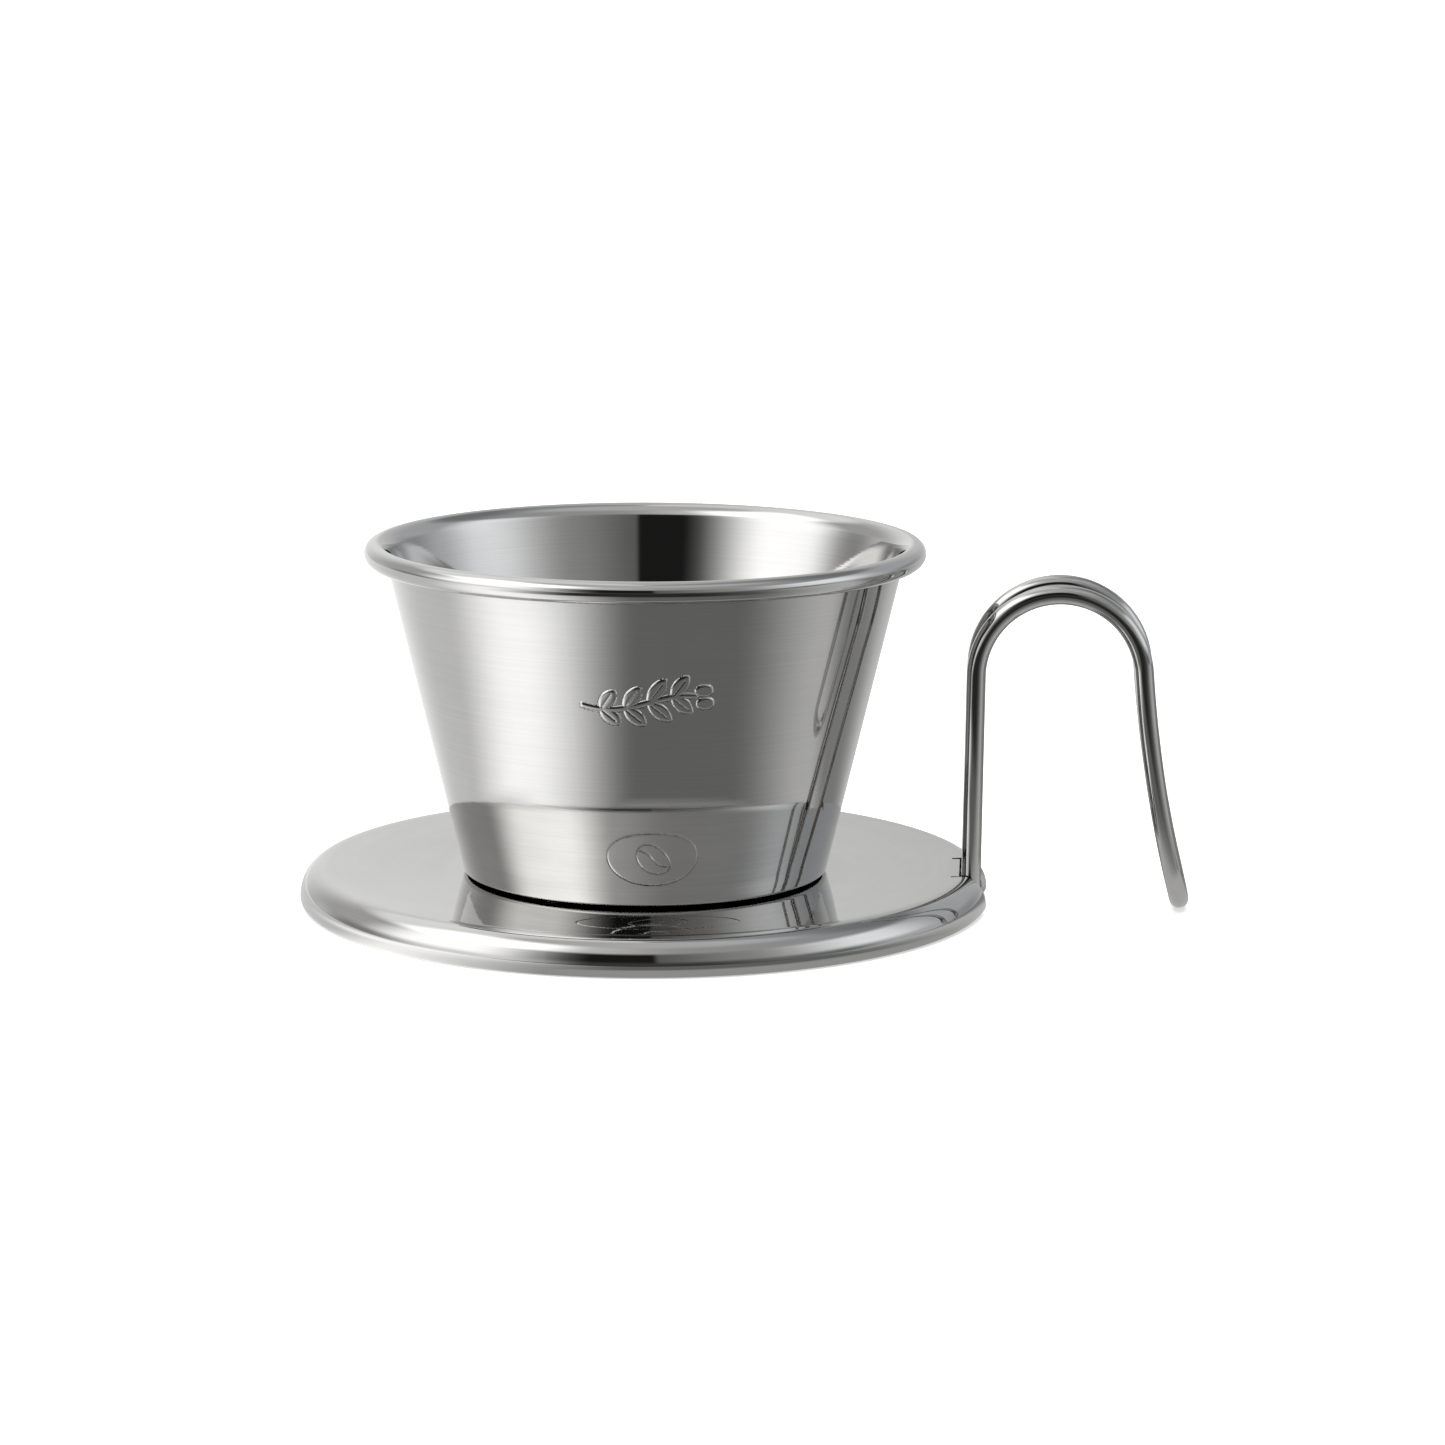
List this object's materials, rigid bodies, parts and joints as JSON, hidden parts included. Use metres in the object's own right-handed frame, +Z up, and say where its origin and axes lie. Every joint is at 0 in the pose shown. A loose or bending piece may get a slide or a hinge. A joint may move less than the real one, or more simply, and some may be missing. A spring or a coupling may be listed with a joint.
{
  "type": "pour over dripper",
  "caption": "Steel pour over coffee dripper: a tapered cup with a curled rim on a round, slightly dished saucer with a rounded edge, and an open handle of doubled wire.",
  "frame": {"origin": "centre of the bounding box in plan, at the height of the surface that the saucer rests on", "axes": "+Z up along the cup's axis, +X towards the handle, along the longest extent"},
  "size_m": [0.1404, 0.109, 0.0575],
  "materials": {
    "saucer_steel": "polished",
    "cup_steel": "polished",
    "handle_steel": "polished",
    "weld_metal": "satin"
  },
  "bodies": {
    "root": {"base_plate": "saucer_steel", "cup": "cup_steel", "handle_wire": "handle_steel", "handle_weld_front": "weld_metal", "handle_weld_rear": "weld_metal", "cup_weld_1": "weld_metal", "cup_weld_2": "weld_metal", "cup_weld_3": "weld_metal"}
  },
  "joints": []
}
